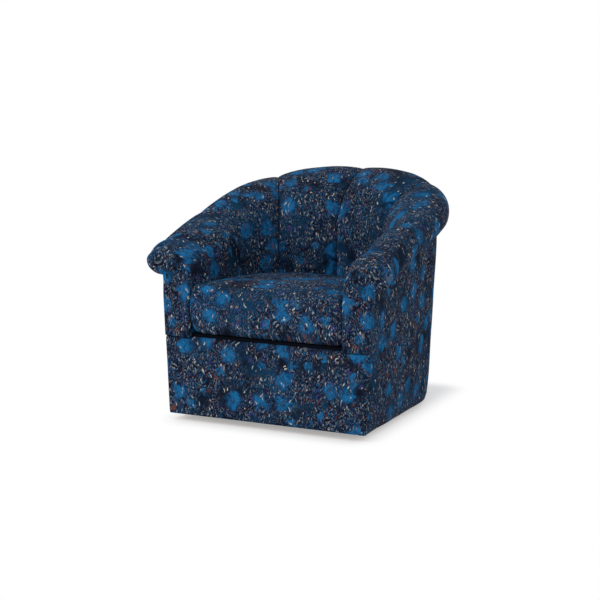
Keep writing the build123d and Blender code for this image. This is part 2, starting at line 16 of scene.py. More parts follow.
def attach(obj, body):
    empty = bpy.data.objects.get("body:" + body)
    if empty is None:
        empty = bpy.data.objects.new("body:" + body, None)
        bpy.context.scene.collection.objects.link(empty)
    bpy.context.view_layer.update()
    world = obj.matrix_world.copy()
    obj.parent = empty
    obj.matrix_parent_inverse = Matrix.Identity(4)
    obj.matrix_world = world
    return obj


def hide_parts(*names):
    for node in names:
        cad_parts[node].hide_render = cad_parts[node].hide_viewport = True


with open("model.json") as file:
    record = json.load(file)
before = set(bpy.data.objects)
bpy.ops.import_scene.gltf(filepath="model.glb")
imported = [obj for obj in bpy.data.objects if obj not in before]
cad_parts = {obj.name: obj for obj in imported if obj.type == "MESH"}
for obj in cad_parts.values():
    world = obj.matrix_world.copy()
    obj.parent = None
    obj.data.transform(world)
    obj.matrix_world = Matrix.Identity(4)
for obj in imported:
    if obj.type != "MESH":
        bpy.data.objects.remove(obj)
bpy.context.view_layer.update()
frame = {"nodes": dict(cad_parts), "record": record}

MM = 0.001
log = logging.getLogger("tub_chair")

Point = tuple[float, float]
Place = tuple[float, float, float]
Socket = bpy.types.NodeSocket
Node = bpy.types.Node
Material = bpy.types.Material
Piece = bpy.types.Object


class Side(Enum):
    """Which half of the chair a mirrored piece belongs to."""

    RIGHT = 1
    LEFT = -1


def linear(hex_colour: str) -> tuple[float, float, float, float]:
    """Turn an sRGB hex colour into the linear colour that shaders take.

    Args:
        hex_colour: Six hex digits, such as "1B6FA8".

    Returns:
        Red, green, blue and an alpha of one.
    """
    values = [int(hex_colour[i:i + 2], 16) / 255 for i in (0, 2, 4)]
    channels = [v / 12.92 if v <= 0.04045 else ((v + 0.055) / 1.055) ** 2.4 for v in values]
    return (*channels, 1.0)


@dataclass(frozen=True)
class Graph:
    """The nodes of one finish, with short ways to add those that the finishes use."""

    tree: bpy.types.NodeTree

    def put(self, node: Node, inputs: dict) -> Node:
        """Set inputs of a node.

        Args:
            node: The node.
            inputs: Values or output sockets, by input name or number.

        Returns:
            The same node.
        """
        for key, value in inputs.items():
            if isinstance(value, Socket):
                self.tree.links.new(value, node.inputs[key])
            else:
                node.inputs[key].default_value = value
        return node

    def add(self, kind: str, inputs: dict | None = None, **settings) -> Node:
        """Add one node with its settings and links.

        Args:
            kind: Blender's name for the node type.
            inputs: As for put.
            settings: Attributes of the node itself.

        Returns:
            The new node.
        """
        node = self.tree.nodes.new(kind)
        for key, value in settings.items():
            setattr(node, key, value)
        return self.put(node, inputs or {})

    def math(self, operation: str, first: Socket | float, second: Socket | float, **settings) -> Socket:
        """Combine two numbers."""
        return self.add("ShaderNodeMath", {0: first, 1: second}, operation=operation, **settings).outputs[0]

    def vector(self, operation: str, first: Socket, second: Socket | tuple | None = None) -> Socket:
        """Change a vector, by another one where the operation takes two."""
        inputs = {0: first} if second is None else {0: first, 1: second}
        return self.add("ShaderNodeVectorMath", inputs, operation=operation).outputs[0]

    def scale(self, vector: Socket, factor: Socket | float) -> Socket:
        """Scale a vector or a colour."""
        return self.add("ShaderNodeVectorMath", {0: vector, "Scale": factor}, operation="SCALE").outputs[0]

    def remap(self, value: Socket, low: float, high: float, to_low: float = 0.0, to_high: float = 1.0,
              **settings) -> Socket:
        """Map a value from one range to another, kept inside it."""
        return self.add("ShaderNodeMapRange", {"Value": value, "From Min": low, "From Max": high,
                                               "To Min": to_low, "To Max": to_high}, **settings).outputs[0]

    def mix(self, share: Socket, below: Socket | tuple, above: Socket | tuple) -> Socket:
        """Mix two colours."""
        return self.add("ShaderNodeMix", {0: share, 6: below, 7: above}, data_type="RGBA").outputs[2]

    def noise(self, place: Socket, scale: float, detail: float) -> Node:
        """Add even clouds."""
        return self.add("ShaderNodeTexNoise", {"Vector": place, "Scale": scale, "Detail": detail})

    def cells(self, place: Node, scale: float, randomness: float) -> Node:
        """Add flat cells, each of a random colour."""
        return self.add("ShaderNodeTexVoronoi", {"Vector": place.outputs[0], "Scale": scale, "Randomness": randomness},
                        voronoi_dimensions="2D")

    def dice(self, cells: Node) -> Node:
        """Add three random numbers per cell."""
        return self.add("ShaderNodeSeparateColor", {0: cells.outputs["Color"]})

    def disturb(self, place: Socket, clouds_mm: float, reach_mm: float, detail: float) -> Socket:
        """Push places about unevenly, so that what is printed on them gets ragged edges.

        Args:
            place: Cloth coordinates in metres.
            clouds_mm: Size of the unevenness.
            reach_mm: How far it pushes.
            detail: Its octaves.

        Returns:
            The new coordinates.
        """
        wobble = self.noise(place, 1 / (clouds_mm * MM), detail).outputs["Color"]
        spread = self.vector("SUBTRACT", wobble, (0.5, 0.5, 0.5))
        return self.vector("ADD", place, self.scale(spread, reach_mm * MM))


def start_material(name: str) -> tuple[Material, Graph, Node]:
    """Make an empty node material that ends in a principled shader.

    Args:
        name: The finish, in a maker's words.

    Returns:
        The material, its nodes and the shader node.
    """
    material = bpy.data.materials.new(name)
    material.use_nodes = True
    material.node_tree.nodes.clear()
    graph = Graph(material.node_tree)
    shader = graph.add("ShaderNodeBsdfPrincipled")
    graph.add("ShaderNodeOutputMaterial", {"Surface": shader.outputs[0]})
    return material, graph, shader


class Patches(NamedTuple):
    """One field of soft patches: spacing, noise values where a patch starts and is full, offset, octaves."""

    spacing_mm: float
    low: float
    high: float
    seed: float
    detail: float = 3


class Dashes(NamedTuple):
    """One set of dashes: spacing along and across, lean in degrees, size as a share of a cell, offset."""

    length_mm: float
    width_mm: float
    lean: float
    size: float
    shift: float


class Blots(NamedTuple):
    """One set of round blots: ink, spacing, radius and filled cells as shares, offset, opacity."""

    ink: str
    spacing_mm: float
    radius: float
    keep: float
    shift: float
    strength: float


class PrintedCotton:
    """Printed upholstery cotton: matt, tightly woven, in painterly blots and loose dashes.

    The print sits in the yarn, so it adds no gloss. All sizes are those of the cloth itself.
    """

    ground, ground_light, shadow = "0E1626", "1B2F4A", "1B1A2B"
    teal, azure, azure_deep = "174A6E", "2483C2", "17568C"
    rust, violet, cream = "9A5A48", "50529A", "E9E7DF"
    dash_inks = ((0.0, "B2B7BD"), (0.22, "5C7A98"), (0.53, rust), (0.6, violet), (0.7, "2B76AA"))
    mottle = Patches(26, 0.35, 0.7, seed=1)
    shadows = Patches(70, 0.5, 0.62, seed=5)
    teal_patches = Patches(150, 0.48, 0.6, seed=2)
    clusters = Patches(110, 0.36, 0.5, seed=9, detail=1)
    crossings = Patches(42, 0.48, 0.52, seed=11, detail=1)
    straight_dashes = (Dashes(12.5, 4.8, lean=34, size=0.37, shift=0.1), Dashes(14, 5.2, lean=4, size=0.32, shift=3.9))
    crossing_dashes = (Dashes(12, 4.6, lean=-41, size=0.37, shift=2.3), Dashes(11, 5.0, lean=78, size=0.3, shift=6.1))
    flower_blots = (Blots(azure_deep, 88, radius=0.42, keep=0.6, shift=0.3, strength=0.9),
                    Blots(azure, 88, radius=0.31, keep=0.6, shift=0.3, strength=0.95),
                    Blots(azure, 54, radius=0.30, keep=0.16, shift=1.7, strength=0.9),
                    Blots(teal, 48, radius=0.34, keep=0.3, shift=8.2, strength=0.7),
                    Blots(violet, 50, radius=0.22, keep=0.12, shift=6.3, strength=0.55),
                    Blots(rust, 34, radius=0.24, keep=0.06, shift=4.1, strength=0.6))
    cream_flecks = ((Dashes(24, 8, lean=20, size=0.25, shift=5.2), 0.9),
                    (Dashes(20, 7.5, lean=-50, size=0.25, shift=7.9), 0.75))
    patch_strength, cluster_strength, dash_strength = 0.75, 0.4, 0.92
    fleck_share = 0.048
    bristle_mm = (9, 30)
    thread_mm = 1.6
    thread_bands = 0.32
    # Painted shade and highlight: the cloth colour is scaled by the weave's height, darker in the hollows between
    # threads and lighter on their crowns
    thread_painted_shade = (0.74, 1.14)
    thread_height_mm = 0.5
    thread_relief = 0.35
    roughness = 0.88
    specular = 0.06

    def __init__(self) -> None:
        """Print and weave the cloth."""
        self.material, self.graph, shader = start_material("printed_upholstery_cotton")
        graph = self.graph
        self.uv = graph.add("ShaderNodeTexCoord").outputs["UV"]
        self.wet = graph.disturb(self.uv, clouds_mm=38, reach_mm=46, detail=4)
        self.colour = graph.mix(self.patches(self.uv, self.mottle), linear(self.ground), linear(self.ground_light))
        self.print_over(self.shadow, self.patches(self.wet, self.shadows), self.patch_strength)
        self.print_over(self.teal, self.patches(self.wet, self.teal_patches), self.patch_strength)
        self.print_dashes()
        self.print_flowers()
        self.print_flecks()

        weave = self.weave()
        # Painted shade and highlight from the weave: darker colour in the thread hollows, lighter on the thread crowns
        cloth = graph.scale(self.colour, graph.remap(weave, 0, 1, *self.thread_painted_shade))
        bump = graph.add("ShaderNodeBump", {"Height": weave, "Strength": self.thread_relief,
                                           "Distance": self.thread_height_mm * MM})
        graph.put(shader, {"Base Color": cloth, "Normal": bump.outputs[0], "Roughness": self.roughness,
                           "Specular IOR Level": self.specular})

    def patches(self, place: Socket, kind: Patches) -> Socket:
        """Soft-edged patches of cloth, from 0 to 1."""
        clouds = self.graph.add("ShaderNodeTexNoise", {"Vector": place, "W": kind.seed, "Detail": kind.detail,
                                                       "Scale": 1 / (kind.spacing_mm * MM), "Roughness": 0.6},
                                noise_dimensions="4D")
        return self.graph.remap(clouds.outputs[0], kind.low, kind.high)

    def dashes(self, kind: Dashes) -> tuple[Socket, Node]:
        """Short brush dashes that all lean one way.

        Args:
            kind: The set.

        Returns:
            The dash factor and a node with three random numbers per dash.
        """
        graph = self.graph
        turned = graph.add("ShaderNodeMapping", {"Vector": self.wet, "Location": (kind.shift, kind.shift / 2, 0),
                                                 "Rotation": (0, 0, math.radians(kind.lean)),
                                                 "Scale": (1 / (kind.width_mm * MM), 1 / (kind.length_mm * MM), 1)})
        cell = graph.cells(turned, 1, 0.8)
        return graph.remap(cell.outputs["Distance"], kind.size, kind.size * 0.6), graph.dice(cell)

    def blots(self, place: Socket, kind: Blots) -> Socket:
        """Round blots in some of the cells.

        Args:
            place: Cloth coordinates in metres, already disturbed.
            kind: The set.

        Returns:
            A factor from 0 to 1.
        """
        graph = self.graph
        moved = graph.add("ShaderNodeMapping", {"Vector": place, "Location": (kind.shift, -kind.shift, 0)})
        cell = graph.cells(moved, 1 / (kind.spacing_mm * MM), 0.9)
        disc = graph.remap(cell.outputs["Distance"], kind.radius, kind.radius * 0.7)
        return graph.math("MULTIPLY", disc, graph.math("LESS_THAN", graph.dice(cell).outputs[0], kind.keep))

    def print_over(self, ink: Socket | str, cover: Socket, strength: float) -> None:
        """Print one ink over what is there.

        Args:
            ink: A hex colour or a colour socket.
            cover: Where it prints, from 0 to 1.
            strength: How opaque it is.
        """
        amount = self.graph.math("MULTIPLY", cover, strength, use_clamp=True)
        self.colour = self.graph.mix(amount, self.colour, linear(ink) if isinstance(ink, str) else ink)

    def print_dashes(self) -> None:
        """Print the close field of short dashes, which changes its lean from patch to patch."""
        graph = self.graph
        clusters = self.patches(self.uv, self.clusters)
        crossing = self.patches(self.uv, self.crossings)
        straight = graph.math("SUBTRACT", 1.0, crossing)
        self.print_over(self.shadow, clusters, self.cluster_strength)
        for straight_kind, crossing_kind in zip(self.straight_dashes, self.crossing_dashes):
            for where, kind in ((straight, straight_kind), (crossing, crossing_kind)):
                dash, random = self.dashes(kind)
                cover = graph.math("MULTIPLY", graph.math("MULTIPLY", where, clusters), dash)
                thin = graph.math("MULTIPLY", cover, graph.remap(random.outputs[2], 0.1, 0.7))
                self.print_over(self.dash_ink(random.outputs[1]), thin, self.dash_strength)

    def dash_ink(self, random: Socket) -> Socket:
        """Choose one of the inks for each dash.

        Args:
            random: A random number per dash.

        Returns:
            Its colour.
        """
        ink = self.graph.add("ShaderNodeValToRGB", {0: random})
        ramp = ink.color_ramp
        ramp.interpolation = "CONSTANT"
        while len(ramp.elements) < len(self.dash_inks):
            ramp.elements.new(1.0)
        for element, (place, hex_colour) in zip(ramp.elements, self.dash_inks):
            element.position = place
            element.color = linear(hex_colour)
        return ink.outputs[0]

    def print_flowers(self) -> None:
        """Print brushed blots with ragged edges, in three blues, violet and rust."""
        graph = self.graph
        torn = graph.disturb(self.wet, clouds_mm=13, reach_mm=30, detail=3)
        across, along = self.bristle_mm
        brush = graph.add("ShaderNodeMapping", {"Vector": torn, "Scale": (1 / (across * MM), 1 / (along * MM), 1)})
        streak = graph.remap(graph.noise(brush.outputs[0], 1, 3).outputs[0], 0.38, 0.6, to_low=0.1)
        for kind in self.flower_blots:
            self.print_over(kind.ink, graph.math("MULTIPLY", self.blots(torn, kind), streak), kind.strength)

    def print_flecks(self) -> None:
        """Print a few bright cream flecks over all."""
        for kind, strength in self.cream_flecks:
            fleck, random = self.dashes(kind)
            kept = self.graph.math("LESS_THAN", random.outputs[0], self.fleck_share)
            self.print_over(self.cream, self.graph.math("MULTIPLY", fleck, kept), strength)

    def weave(self) -> Socket:
        """Height of warp and weft, from 0 to 1, drawn coarser than real yarn (about 0.4 mm) so that it shows."""
        size = {"Vector": self.uv, "Scale": self.thread_bands / (self.thread_mm * MM), "Distortion": 1.2, "Detail": 1}
        warp, weft = (self.graph.add("ShaderNodeTexWave", size, bands_direction=way).outputs["Fac"] for way in "XY")
        return self.graph.math("MULTIPLY", warp, weft)


@dataclass(frozen=True)
class PlainFinish:
    """A finish whose colour varies a little and whose surface has one fine grain."""

    name: str
    light: str
    dark: str
    roughness: float
    metallic: float
    grain_mm: Place
    bump_mm: float
    specular: float = 0.5

    def build(self) -> Material:
        """Make the material."""
        material, graph, shader = start_material(self.name)
        place = graph.add("ShaderNodeTexCoord").outputs["Object"]
        grain = graph.add("ShaderNodeMapping", {"Vector": place, "Scale": tuple(1 / (g * MM) for g in self.grain_mm)})
        figure = graph.noise(grain.outputs[0], 1, 5).outputs[0]
        bump = graph.add("ShaderNodeBump", {"Height": figure, "Distance": self.bump_mm * MM, "Strength": 0.5})
        graph.put(shader, {"Base Color": graph.mix(figure, linear(self.dark), linear(self.light)),
                           "Normal": bump.outputs[0], "Roughness": self.roughness, "Metallic": self.metallic,
                           "Specular IOR Level": self.specular})
        return material


# Finishes of the solids: name, light and dark colour, roughness, metal, grain, relief and, if not 0.5, specular
FINISHES: dict[str, PlainFinish] = {
    "beech_frame": PlainFinish("planed_beech", "D2AE85", "B88D62", 0.62, 0.0, (6, 90, 6), 0.2),
    "polyurethane_foam": PlainFinish("polyurethane_foam", "EADFB4", "D8CB9A", 0.95, 0.0, (1.5, 1.5, 1.5), 0.6, 0.1),
    "deck_cloth": PlainFinish("woven_deck_cloth", "10131C", "0A0D15", 0.92, 0.0, (1.4, 1.4, 1.4), 0.3, 0.04),
    "cambric": PlainFinish("nonwoven_cambric", "1A1A1C", "101012", 0.95, 0.0, (2.5, 2.5, 2.5), 0.2, 0.1),
    "spring_steel": PlainFinish("oiled_spring_wire", "6A6A6C", "49494C", 0.38, 1.0, (3, 3, 3), 0.05),
    "galvanised_steel": PlainFinish("galvanised_sheet", "B4B8BA", "93989B", 0.42, 1.0, (9, 9, 9), 0.03),
    "zinc_plated_steel": PlainFinish("zinc_plated_fastener", "C6C6BC", "A6A79E", 0.32, 1.0, (4, 4, 4), 0.02),
    "bearing_steel": PlainFinish("polished_bearing_steel", "D0D0D2", "C2C2C6", 0.12, 1.0, (8, 8, 8), 0.0),
    "black_enamelled_steel": PlainFinish("black_enamelled_steel", "17181A", "101113", 0.34, 0.0, (4, 4, 4), 0.08),
    "nylon": PlainFinish("moulded_nylon", "1C1C1E", "141416", 0.5, 0.0, (3, 3, 3), 0.05),
}


def make_piece(name: str, vertices: Sequence[Vector], faces: Sequence[Sequence[int]], uvs: Sequence[Point],
               material: Material) -> Piece:
    """Make a smooth-shaded mesh object at the origin.

    Args:
        name: The piece's name.
        vertices: Places in the chair's frame.
        faces: Vertex numbers of each face.
        uvs: Cloth coordinates in metres, one per vertex.
        material: The finish.

    Returns:
        The object, linked to the scene.
    """
    mesh = bpy.data.meshes.new(name)
    mesh.from_pydata([tuple(v) for v in vertices], [], faces)
    layer = mesh.uv_layers.new(name="cloth")
    for loop in mesh.loops:
        layer.data[loop.index].uv = uvs[loop.vertex_index]
    mesh.polygons.foreach_set("use_smooth", [True] * len(mesh.polygons))
    mesh.materials.append(material)
    mesh.update()
    piece = bpy.data.objects.new(name, mesh)
    bpy.context.scene.collection.objects.link(piece)
    log.info("%s", name)
    return piece


def ring_faces(rings: int, around: int, tipped: bool = False, flip: bool = False) -> list[tuple[int, ...]]:
    """Faces of a skin of equal closed rings, with a flat cap at its start.

    Args:
        rings: Number of rings.
        around: Points in each ring.
        tipped: True if one vertex after the last ring closes it; else a flat cap does.
        flip: True to turn the faces over.

    Returns:
        The faces.
    """
    last = (rings - 1) * around
    faces = [tuple(range(around - 1, -1, -1))]
    for start in range(0, last, around):
        for step in range(around):
            a, b = start + step, start + (step + 1) % around
            faces.append((a, b, b + around, a + around))
    if tipped:
        faces += [(last + step, last + (step + 1) % around, last + around) for step in range(around)]
    else:
        faces.append(tuple(range(last, last + around)))
    return [tuple(reversed(f)) for f in faces] if flip else faces


def spaced(line: Sequence[Vector], steps: int) -> list[Vector]:
    """Set points at even distances along a line.

    Args:
        line: Its corners.
        steps: Number of distances.

    Returns:
        The points, from its first corner to its last.
    """
    lengths = [0.0]
    for a, b in zip(line, line[1:]):
        lengths.append(lengths[-1] + (b - a).length)
    found, at = [], 0
    for i in range(steps + 1):
        want = lengths[-1] * i / steps
        while at < len(line) - 2 and lengths[at + 1] < want:
            at += 1
        share = (want - lengths[at]) / (lengths[at + 1] - lengths[at])
        found.append(line[at].lerp(line[at + 1], min(max(share, 0), 1)))
    return found


def between(start: float, end: float, share: float) -> float:
    """The value at a share of the way from start to end."""
    return start + (end - start) * share


def quarter_turn(steps: int) -> list[Point]:
    """Cosines and sines at even steps of a quarter turn, with both ends."""
    return [(math.cos(math.pi / 2 * i / steps), math.sin(math.pi / 2 * i / steps)) for i in range(steps + 1)]


def rounded(radius: float, inset: float) -> float:
    """How far a face with a rounded edge lies back at a distance inside its outline."""
    return radius - math.sqrt(max(radius ** 2 - max(radius - inset, 0) ** 2, 0))


@dataclass
class Tub:
    """The finished upholstery's plan and rise, as the solids have it."""

    depth: float = 0.858
    facing: float = 0.020
    skirt_z: float = 0.024
    skirt_half_width: float = 0.361
    skirt_back_reach: float = 0.304
    side_lean: float = math.tan(math.radians(2.4))
    back_lean: float = math.tan(math.radians(3.75))
    roll_half_width: float = 0.375
    roll_back_reach: float = 0.316
    roll_back_swell: float = 0.0015
    roll_radius_front: float = 0.069
    roll_radius_back: float = 0.053
    roll_rise: float = math.tan(math.radians(14.1))
    arm_crest_z: float = 0.604
    arm_under_z: float = 0.486
    seat_half_width: float = 0.282
    seat_curve_lead: float = 0.109
    seat_back_reach: float = 0.206
    foot_z: float = 0.300
    border_z: float = 0.290
    seat_seams: tuple[float, ...] = (0, 0.167, 0.468, 0.712, 1)
    roll_seams: tuple[float, ...] = (0, 0.088, 0.318, 0.687, 1)
    dips: tuple[float, ...] = (0.026, 0.027, 0.013, 0.006, 0.003)
    shoulder_power: float = 2.14
    line_steps: int = 400
    skin_search: Point = (0.02, 0.6)
    halvings: int = 30

    def __post_init__(self) -> None:
        """Work out the places that follow from the sizes."""
        self.front_y = -self.depth / 2
        self.inner_front_y = self.front_y + self.facing
        self.curve_y = self.depth / 2 - self.roll_back_reach - self.roll_radius_back - self.roll_back_swell
        self.seat_curve_y = self.curve_y - self.seat_curve_lead
        self.seat_line = self.plan_line(self.seat_half_width, self.seat_curve_y, self.seat_back_reach)
        self.roll_line = self.plan_line(self.roll_half_width, self.curve_y, self.roll_back_reach)

    def plan_line(self, half_width: float, turn_y: float, reach: float) -> list[Vector]:
        """Even points from the front of an arm, straight to turn_y and round to the middle of the back."""
        curve = [Vector((half_width * cos, turn_y + reach * sin, 0)) for cos, sin in quarter_turn(self.line_steps)]
        return spaced([Vector((half_width, self.inner_front_y, 0)), *curve], self.line_steps)

    def on_line(self, line: list[Vector], share: float) -> Vector:
        """A point on a plan line at a share of its length."""
        place = min(max(share, 0.0), 1.0) * (len(line) - 1)
        low = min(int(place), len(line) - 2)
        return line[low].lerp(line[low + 1], place - low)

    def rise(self, y: float) -> float:
        """How much higher the roll is at y than at the front face."""
        return (y - self.front_y) * self.roll_rise

    def roll_under(self, y: float) -> float:
        """Height of the roll's underside at y."""
        return self.arm_under_z + self.rise(y)

    def dip(self, share: float) -> float:
        """How far the foam has settled below the roll's even rise.

        Args:
            share: Share of the roll's length, from its front.

        Returns:
            The distance in metres.
        """
        for number, ahead in enumerate(self.roll_seams[1:]):
            behind = self.roll_seams[number]
            if share <= ahead:
                return between(self.dips[number], self.dips[number + 1], (share - behind) / (ahead - behind))
        return self.dips[-1]

    def half_width(self, z: float) -> float:
        """Half the outside width at height z."""
        return self.skirt_half_width + (z - self.skirt_z) * self.side_lean

    def reach(self, z: float) -> float:
        """How far the outside back stands behind the start of its curve at height z."""
        return self.skirt_back_reach + (z - self.skirt_z) * self.back_lean

    def right_arm_place(self, s: float, z: float) -> Vector:
        """A place on the right outside arm at height z, from the front (0) to the start of the curve (1)."""
        return Vector((self.half_width(z), between(self.inner_front_y, self.curve_y, s), z))

    def left_arm_place(self, s: float, z: float) -> Vector:
        """A place on the left outside arm at height z, from the start of the curve (0) to the front (1)."""
        return Vector((-self.half_width(z), between(self.curve_y, self.inner_front_y, s), z))

    def back_place(self, s: float, z: float) -> Vector:
        """Find a place on the outside back, which is fuller than an ellipse at its shoulders.

        Args:
            s: Share of the way round, from right (0) to left (1).
            z: Height.

        Returns:
            The place.
        """
        turn = math.pi * s
        power = 2 / self.shoulder_power
        across = math.copysign(abs(math.cos(turn)) ** power, math.cos(turn))
        return Vector((self.half_width(z) * across, self.curve_y + self.reach(z) * abs(math.sin(turn)) ** power, z))

    def to_skin(self, foot: Vector, outward: Vector) -> float:
        """Find the outside panels at the underside of the roll.

        Args:
            foot: A place inside them, in plan.
            outward: The level direction to look in.

        Returns:
            Their distance from the foot.
        """
        near, far = self.skin_search
        for _ in range(self.halvings):
            middle = (near + far) / 2
            place = foot + outward * middle
            z = self.roll_under(place.y)
            across = abs(place.x) / self.half_width(z)
            along = max(place.y - self.curve_y, 0) / self.reach(z)
            if across ** self.shoulder_power + along ** self.shoulder_power > 1:
                far = middle
            else:
                near = middle
        return (near + far) / 2


@dataclass
class Channel:
    """One sewn channel: up the inside, over the roll and under it to the outside panel."""

    tub: Tub
    cloth: Material
    number: int
    side: Side
    crown: float = 0.021
    crown_power: float = 2.8
    crest_share: float = 0.75
    front_fullness: float = 0.2
    notch: float = 0.006
    lap: float = 0.001
    back: float = 0.028
    landing: float = 0.074
    flare_base: float = 0.043
    flare_share: float = 0.6
    seam_fill: float = 0.5
    pucker: float = 0.0016
    pucker_waves: float = 95
    pucker_reach: float = 14
    unevenness: float = 0.0026
    cloth_shift: Point = (0.31, 0.47)
    rings: int = 41
    wall_steps: int = 9
    flare_steps: int = 16
    over_steps: int = 10
    under_steps: int = 9

    @property
    def shown(self) -> int:
        """Number of points that show, from the seat over the roll to its underside."""
        return self.wall_steps + self.flare_steps + self.over_steps + self.under_steps + 1

    def fullness(self, t: float) -> float:
        """Pillow shape across the channel: one in the middle, zero at the seams, a little more at the arm's front."""
        if self.number == 1 and t < 0.5:
            return between(self.front_fullness, 1, (2 * t) ** 2 * (3 - 4 * t))
        return (1 - abs(2 * t - 1) ** self.crown_power) ** 0.5

    def outline(self, t: float) -> tuple[Vector, Vector, list[Point]]:
        """The closed cross-section at share t across the channel.

        Args:
            t: 0 at the front seam, 1 at the rear one.

        Returns:
            The foot in plan, the outward direction and the points (distance, height).
        """
        tub = self.tub
        seat, roll = (between(seams[self.number - 1], seams[self.number], t)
                      for seams in (tub.seat_seams, tub.roll_seams))
        foot, top = tub.on_line(tub.seat_line, seat), tub.on_line(tub.roll_line, roll)
        outward = (top - foot).normalized()
        span = (top - foot).length
        full = self.fullness(t)
        crown = self.crown * full
        roll_z = tub.arm_crest_z + tub.rise(top.y)
        crest_z = roll_z - tub.dip(roll)
        radius = between(tub.roll_radius_front, tub.roll_radius_back, roll)
        skin = tub.to_skin(foot, outward)
        hip = (-crown, roll_z - self.flare_base - self.flare_share * span)
        crest = (span, crest_z - self.notch + crown * self.crest_share)
        waist = (span + radius + crown * (1 - self.crest_share), roll_z - radius)
        under = (skin + self.lap, tub.roll_under(foot.y + skin * outward.y) + self.lap)
        points = [(hip[0], tub.foot_z + (hip[1] - tub.foot_z) * i / self.wall_steps) for i in range(self.wall_steps)]
        fill = between(self.seam_fill, 1, full)
        for i, (cos, sin) in enumerate(quarter_turn(self.flare_steps)[:-1]):
            chord = i / self.flare_steps
            points.append((between(hip[0], crest[0], between(chord, 1 - cos, fill)),
                           between(hip[1], crest[1], between(chord, sin, fill))))
        points += [(between(crest[0], waist[0], sin), between(waist[1], crest[1], cos))
                   for cos, sin in quarter_turn(self.over_steps)[:-1]]
        points += [(between(under[0], waist[0], cos), between(waist[1], under[1], sin))
                   for cos, sin in quarter_turn(self.under_steps)]
        land_u = skin - self.landing
        land_z = tub.roll_under(foot.y + land_u * outward.y) + self.lap
        lean = max(land_u - self.back, self.back / 4)
        points += [(land_u, land_z), (self.back, land_z - lean * self.flare_share), (self.back, tub.foot_z)]
        return foot, outward, points

    def build(self) -> None:
        """Make the channel's closed mesh."""
        rows: list[list[Vector]] = []
        for ring in range(self.rings):
            t = 0.5 - 0.5 * math.cos(math.pi * ring / (self.rings - 1))
            foot, outward, points = self.outline(t)
            row = [foot + outward * u + Vector((0, 0, z)) for u, z in points]
            for i in range(1, self.shown - 1):
                row[i] += self.soften(row[i], outward, t, i / self.shown)
            rows.append(row)
        vertices = [Vector((p.x * self.side.value, p.y, p.z)) for row in rows for p in row]
        faces = ring_faces(self.rings, len(rows[0]), flip=self.side is Side.LEFT)
        name = f"channel_{self.side.name.lower()}_{self.number}_cover"
        piece = make_piece(name, vertices, faces, self.cloth_places(rows), self.cloth)
        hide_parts(f"channel_{self.side.name.lower()}_{self.number}")
        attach(piece, "chair")

    def cloth_places(self, rows: list[list[Vector]]) -> list[Point]:
        """Lay the cloth along the channel: lengths measured over the foam, across and up it.

        Args:
            rows: The channel's rings.

        Returns:
            Cloth coordinates in metres, ring by ring.
        """
        middle = len(rows) // 2
        across = [[0.0] * len(rows[0]) for _ in rows]
        for k in (*range(middle + 1, len(rows)), *range(middle - 1, -1, -1)):
            way = 1 if k > middle else -1
            across[k] = [so_far + way * (place - neighbour).length
                         for so_far, place, neighbour in zip(across[k - way], rows[k], rows[k - way])]
        right, up = self.cloth_shift[0] * self.number * self.side.value, self.cloth_shift[1] * self.number
        found = []
        for row, sideways in zip(rows, across):
            along = 0.0
            for i, place in enumerate(row):
                along += (place - row[i - 1]).length if i else 0.0
                found.append((sideways[i] + right, along + up))
        return found

    def soften(self, place: Vector, outward: Vector, t: float, along: float) -> Vector:
        """Puckers beside the seams and the slow unevenness of foam.

        Args:
            place: The point before.
            outward: Level direction away from the seat.
            t: Share across the channel.
            along: Share along the visible line.

        Returns:
            How far the point moves.
        """
        edge = 1 - t if self.number == 1 else min(t, 1 - t)
        wave = math.sin(along * self.pucker_waves + 3 * noise.noise(place * 9))
        pucker = wave * self.pucker * math.exp(-edge * self.pucker_reach)
        slow = noise.noise(place * 11 + Vector((self.number, 0, 0))) * self.unevenness
        return (outward * -0.6 + Vector((0, 0, 0.8))).normalized() * (pucker + slow)


